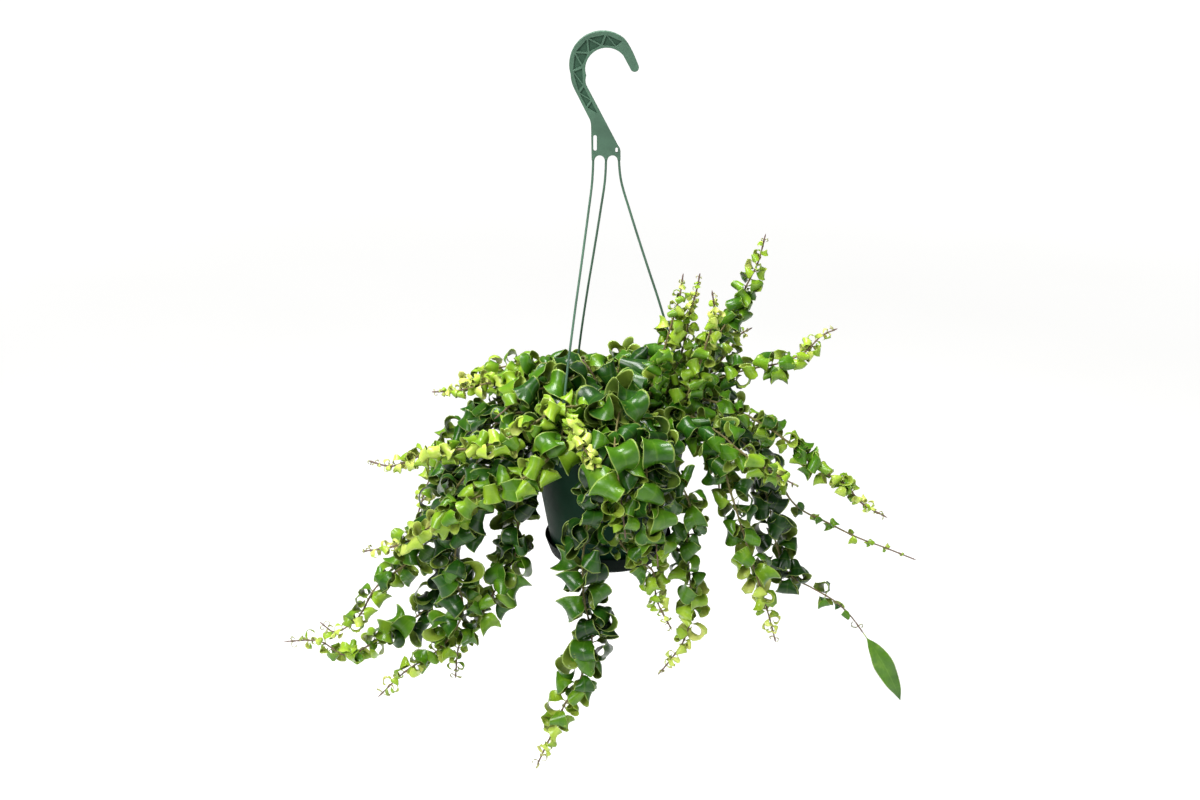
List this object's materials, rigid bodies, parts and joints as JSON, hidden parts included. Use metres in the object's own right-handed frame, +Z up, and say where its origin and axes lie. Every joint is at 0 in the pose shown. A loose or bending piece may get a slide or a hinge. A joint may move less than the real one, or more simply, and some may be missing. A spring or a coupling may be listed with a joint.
{
  "type": "potted curly lipstick plant",
  "caption": "Trailing plant with tightly curled glossy leaves, rooted in a tapered pot with a clipped saucer, hung from an overhead hook by thin moulded strands.",
  "frame": {"origin": "the hook's seat: the highest point of the plate's inner arc, which bears on a rod or a hook", "axes": "+Z up, +X to the right seen from the front, +Y to the back; the pot's axis is the Z axis"},
  "size_m": [0.6993, 0.3657, 0.7627],
  "materials": {
    "pot_plastic": "satin",
    "saucer_plastic": "satin",
    "potting_soil": "matte",
    "hanger_plastic": "satin",
    "leafy_stem": "gloss"
  },
  "bodies": {
    "root": {"pot": "pot_plastic", "saucer": "saucer_plastic", "soil": "potting_soil", "hanger": "hanger_plastic", "stem_left_1": "leafy_stem", "stem_left_2": "leafy_stem", "stem_left_3": "leafy_stem", "stem_left_4": "leafy_stem", "stem_left_5": "leafy_stem", "stem_left_6": "leafy_stem", "stem_left_7": "leafy_stem", "stem_front_1": "leafy_stem", "stem_front_2": "leafy_stem", "stem_front_3": "leafy_stem", "stem_front_4": "leafy_stem", "stem_right_1": "leafy_stem", "stem_right_2": "leafy_stem", "stem_right_3": "leafy_stem", "stem_right_4": "leafy_stem", "stem_right_5": "leafy_stem", "stem_upright_1": "leafy_stem", "stem_upright_2": "leafy_stem", "stem_upright_3": "leafy_stem", "stem_upright_4": "leafy_stem", "stem_upright_5": "leafy_stem", "stem_upright_6": "leafy_stem", "stem_back_1": "leafy_stem", "stem_back_2": "leafy_stem", "stem_back_3": "leafy_stem", "stem_back_4": "leafy_stem", "stem_back_5": "leafy_stem", "stem_back_6": "leafy_stem", "stem_back_7": "leafy_stem", "stem_back_8": "leafy_stem", "stem_back_9": "leafy_stem", "stem_crown_1": "leafy_stem", "stem_crown_2": "leafy_stem", "stem_crown_3": "leafy_stem", "stem_crown_4": "leafy_stem", "stem_crown_5": "leafy_stem", "stem_crown_6": "leafy_stem"}
  },
  "joints": []
}
